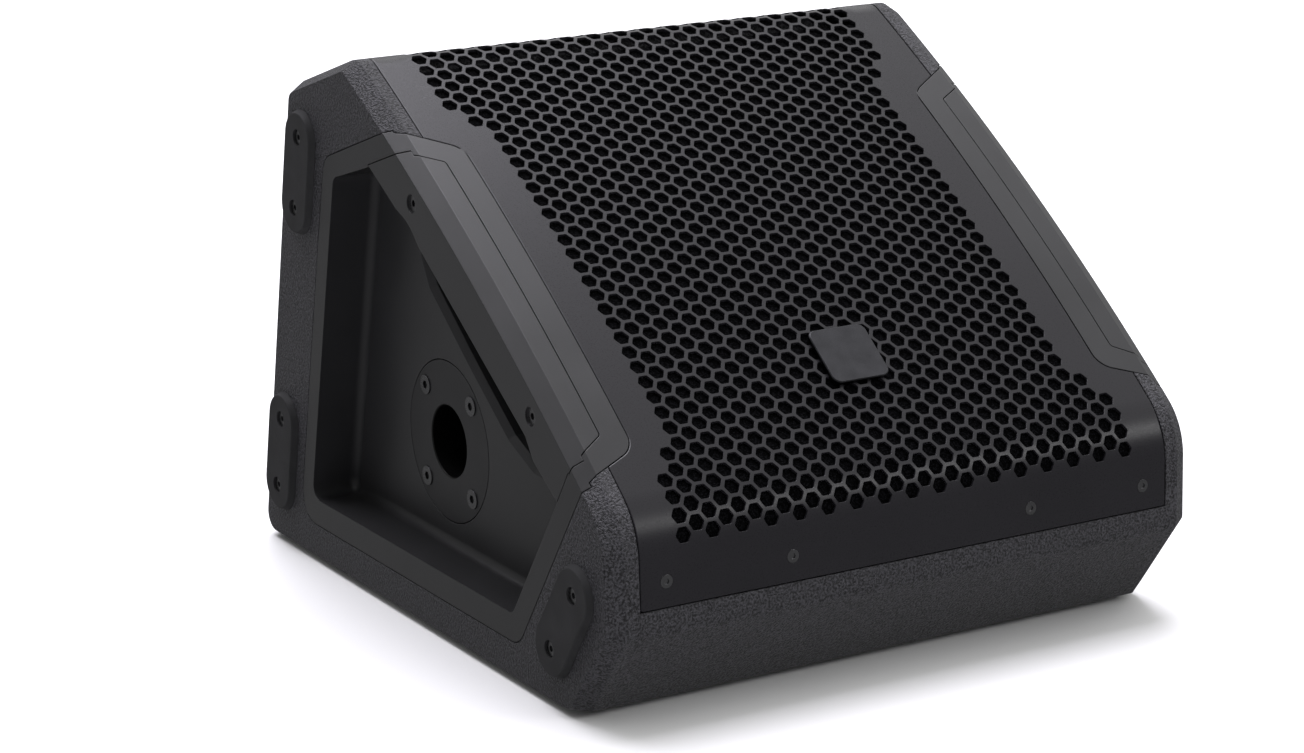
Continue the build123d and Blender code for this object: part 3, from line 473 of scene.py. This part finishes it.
# ---------------------------------------------------------------- sheet meshes
def plate(name, outline, holes, fillers, rings, hole_rings, top=0.0):
    """A closed plate that follows the sheet: its face is triangulated between an outline and its holes.

    Rings are (outward shift, depth) steps from the face to the back.
    """
    loops = [shifted(outline, rings[0][0])] + [shifted(hole, -hole_rings[0][0]) for hole in holes]
    flat, edges = [], []
    for loop in loops:
        first = len(flat)
        flat += loop
        edges += [(first + i, first + (i + 1) % len(loop)) for i in range(len(loop))]
    flat += fillers
    faces = [list(range(len(outline)))]
    first = len(outline)
    for hole in holes:
        faces.append(list(range(first, first + len(hole))))
        first += len(hole)
    points, _, found, origins, _, face_origins = delaunay_2d_cdt(flat, edges, faces, 0, 1e-7)
    new_of = {old: new for new, olds in enumerate(origins) for old in olds}
    face = [tri for tri, owners in zip(found, face_origins) if list(owners) == [0]]

    # spots holds (x, s, depth) for each vertex
    spots = [(p.x, p.y, 0.0) for p in points]
    polygons = [tuple(tri) for tri in face]
    back = {}
    first = 0
    for number, loop in enumerate([outline] + holes):
        count = len(loop)
        steps, sign = (rings, 1) if number == 0 else (hole_rings, -1)
        ring = [new_of[first + i] for i in range(count)]
        for shift, depth in steps[1:]:
            lower = list(range(len(spots), len(spots) + count))
            spots += [(p.x, p.y, depth) for p in shifted(loop, sign * shift)]
            for i in range(count):
                j = (i + 1) % count
                wall = (ring[j], ring[i], lower[i], lower[j])
                polygons.append(wall if number == 0 else wall[::-1])
            ring = lower
        for i in range(count):
            back[new_of[first + i]] = ring[i]
        first += count
    for vertex in sorted({v for tri in face for v in tri} - set(back)):
        back[vertex] = len(spots)
        spots.append((points[vertex].x, points[vertex].y, rings[-1][1]))
    walls_end = len(polygons)
    polygons += [tuple(back[v] for v in reversed(tri)) for tri in face]

    used = sorted({v for polygon in polygons for v in polygon})
    index = {old: new for new, old in enumerate(used)}
    mesh = bpy.data.meshes.new(name)
    mesh.from_pydata([on_sheet(x, s, top + depth) for x, s, depth in (spots[old] for old in used)], [],
                     [tuple(index[v] for v in polygon) for polygon in polygons])
    mesh.shade_smooth()
    normals = []
    for number, polygon in enumerate(mesh.polygons):
        on_wall = len(face) <= number < walls_end
        side = 1 if number < len(face) else -1
        for vertex in polygon.vertices:
            face_normal = sheet_normal(spots[used[vertex]][1]) * side
            normals.append(polygon.normal.copy() if on_wall else face_normal)
    mesh.normals_split_custom_set(normals)
    piece = bpy.data.objects.new(name, mesh)
    bpy.context.scene.collection.objects.link(piece)
    return piece


def contains(outline, point):
    """Whether a closed outline holds a point."""
    held = False
    for index, end in enumerate(outline):
        start = outline[index - 1]
        if (start.y > point.y) != (end.y > point.y):
            crossing = start.x + (point.y - start.y) * (end.x - start.x) / (end.y - start.y)
            held ^= point.x < crossing
    return held


def fill_grid(outline, pitch, step_at, clear_of=(), clearance=0.0):
    """Points inside an outline on a grid whose step along s varies, clear of some centres."""
    tree = KDTree(max(1, len(clear_of)))
    for index, centre in enumerate(clear_of):
        tree.insert((*centre, 0), index)
    tree.balance()
    found = []
    half = max(point.x for point in outline)
    columns = math.floor(half / pitch)
    s = min(point.y for point in outline)
    while s < max(point.y for point in outline):
        for column in range(-columns, columns + 1):
            point = Vector((column * pitch, s))
            if contains(outline, point) and (not clear_of or tree.find((*point, 0))[2] > clearance):
                found.append(point)
        s += step_at(s)
    return found


# ---------------------------------------------------------------- grille
hole_pitch = 9 * mm
hole_across_flats = 7.15 * mm
hole_corner = 0.9 * mm
column_pitch = hole_pitch * math.cos(math.radians(30))
first_row, last_row = 3.535, 35.5
outer_column = 16
screw_pitch, screw_height, screw_hole_radius = 67.4 * mm, 12.1 * mm, 3.3 * mm


def hole_centres():
    """Centres of the hexagonal holes: staggered columns, with the two outermost columns cut short."""
    centres = []
    bare_rows = {outer_column - 1: (4.5, 28.5), outer_column: (3.0, 30.0)}
    for column in range(-outer_column, outer_column + 1):
        row = 0.5 if column % 2 else 0.0
        while row <= last_row:
            low, high = bare_rows.get(abs(column), (0.0, 0.0))
            if not low < row < high:
                centres.append(Vector((column * column_pitch, (first_row + row) * hole_pitch)))
            row += 1.0
    return centres


def hexagon(centre):
    """A hexagonal hole with slightly rounded corners, flat sides up and down."""
    reach = hole_across_flats / math.sqrt(3)
    corners = [centre + Vector((reach, 0)) @ Matrix.Rotation(math.radians(-60 * turn), 2)
               for turn in range(6)]
    return rounded(corners, [hole_corner] * 6, 2)


def round_hole(centre, radius, sides=24):
    return [centre + Vector((math.cos(math.tau * i / sides), math.sin(math.tau * i / sides))) * radius
            for i in range(sides)]


def finer_on_bends(s):
    """Grid step along the sheet: short where it bends."""
    bent = stretches[0][0] - 2 * mm < s < slope_low or s > slope_high - 2 * mm
    return 2 * mm if bent else 8 * mm


def build_grille():
    clearance = 0.4 * mm
    outline = divided(notched(half_width, 0.0, profile_length, clearance), 3 * mm)
    centres = hole_centres()
    screws = [Vector((place * screw_pitch, screw_height)) for place in (-2, -1, 1, 2)]
    holes = [hexagon(centre) for centre in centres]
    holes += [round_hole(screw, screw_hole_radius) for screw in screws]
    fillers = fill_grid(shifted(outline, -1.8 * mm), 5 * mm, finer_on_bends, centres + screws, 5.6 * mm)
    edge = [(-0.6 * mm, 0.0), (-0.18 * mm, 0.18 * mm), (0.0, 0.6 * mm), (0.0, sheet)]
    rim = [(-0.15 * mm, 0.0), (0.0, 0.15 * mm), (0.0, sheet)]
    grille = plate("perforated_grille", outline, holes, fillers, edge, rim)
    grille.data.materials.append(finishes["grille_metal"].material)
    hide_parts("grille")
    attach(grille, "cabinet")


def build_foam():
    """Black open-cell foam behind the holes."""
    low, high = flat_length + 3 * mm, along_chord(131 * mm)
    outline = divided(notched(half_width - 0.8 * mm, low, high, 9 * mm), 5 * mm)
    fillers = fill_grid(shifted(outline, -2 * mm), 4 * mm, lambda s: 4 * mm)
    edge = [(-0.8 * mm, 0.0), (0.0, 0.8 * mm), (0.0, 5.6 * mm)]
    foam = plate("grille_backing_foam", outline, [], fillers, edge, [], top=sheet + 0.3 * mm)
    foam.data.materials.append(finishes["foam"].material)
    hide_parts("grille_foam")
    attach(foam, "cabinet")


build_grille()
build_foam()


# ---------------------------------------------------------------- level scale on the panel
def build_level_scale():
    """Printed ticks round the level knob, from its lowest to its highest setting."""
    low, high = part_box("level_knob")
    centre = (low + high) / 2
    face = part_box("connection_panel")[1].x
    turn_range = next(joint["range_deg"] for joint in frame["joints"] if joint["name"] == "level_turn")
    turn_low, turn_high = (math.radians(turn) for turn in turn_range)
    ticks = 11
    mesh = bmesh.new()
    for tick in range(ticks):
        angle = turn_low + (turn_high - turn_low) * tick / (ticks - 1)
        out = Vector((0, math.sin(angle), math.cos(angle)))
        side = Vector((0, out.z, -out.y))
        length = 2.6 * mm if tick % 5 == 0 else 1.6 * mm
        width = 0.35 * mm
        corners = []
        for lift in (0.0, 0.06 * mm):
            for reach, across in ((0, -1), (0, 1), (1, 0.7), (1, -0.7)):
                spot = Vector((face + lift, centre.y, centre.z)) + out * (9.6 * mm + reach * length)
                corners.append(mesh.verts.new(spot + side * (across * width)))
        for cycle in ((0, 1, 2, 3), (7, 6, 5, 4), (0, 4, 5, 1), (1, 5, 6, 2), (2, 6, 7, 3),
                      (3, 7, 4, 0)):
            mesh.faces.new([corners[i] for i in cycle])
    bmesh.ops.recalc_face_normals(mesh, faces=mesh.faces)
    data = bpy.data.meshes.new("level_scale")
    mesh.to_mesh(data)
    scale = bpy.data.objects.new("level_scale", data)
    bpy.context.scene.collection.objects.link(scale)
    ink = Finish("printed_ink", (0.62, 0.62, 0.60), 0.6)
    ink.tint(ink.noise(0.4 * mm, 3.0), 0.85, 1.05)
    data.materials.append(ink.material)
    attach(scale, "cabinet")


build_level_scale()


# ---------------------------------------------------------------- floor and light
def build_floor():
    """A pale seamless floor."""
    reach = 14.0
    mesh = bmesh.new()
    bmesh.ops.create_grid(mesh, x_segments=8, y_segments=8, size=reach)
    data = bpy.data.meshes.new("floor")
    mesh.to_mesh(data)
    floor = bpy.data.objects.new("floor", data)
    bpy.context.scene.collection.objects.link(floor)
    paint = Finish("floor_paint", (0.78, 0.78, 0.78), 0.9, specular=0.1)
    paint.tint(paint.noise(1.5, 2.0), 0.995, 1.005)
    data.materials.append(paint.material)
    floor.visible_glossy = False


def build_sky(strength):
    world = bpy.data.worlds.new("studio")
    world.use_nodes = True
    world.node_tree.nodes["Background"].inputs["Color"].default_value = (1.0, 1.0, 1.0, 1.0)
    world.node_tree.nodes["Background"].inputs["Strength"].default_value = strength
    bpy.context.scene.world = world


def build_sun(name, direction, strength, spread, colour=(1.0, 1.0, 1.0)):
    """A distant soft light that shines from a direction."""
    data = bpy.data.lights.new(name, "SUN")
    data.color = colour
    data.energy = strength
    data.angle = math.radians(spread)
    sun = bpy.data.objects.new(name, data)
    sun.matrix_world = Vector(direction).to_track_quat("Z", "Y").to_matrix().to_4x4()
    bpy.context.scene.collection.objects.link(sun)


build_floor()
build_sky(0.34)
build_sun("key", (0.06, 0.33, 0.94), 4.0, 46, (0.93, 0.91, 1.0))
build_sun("fill", (0.34, 0.15, 0.92), 2.3, 110)
build_sun("front_right", (0.57, -0.67, 0.46), 0.5, 14)

bpy.context.scene.view_settings.view_transform = "Standard"
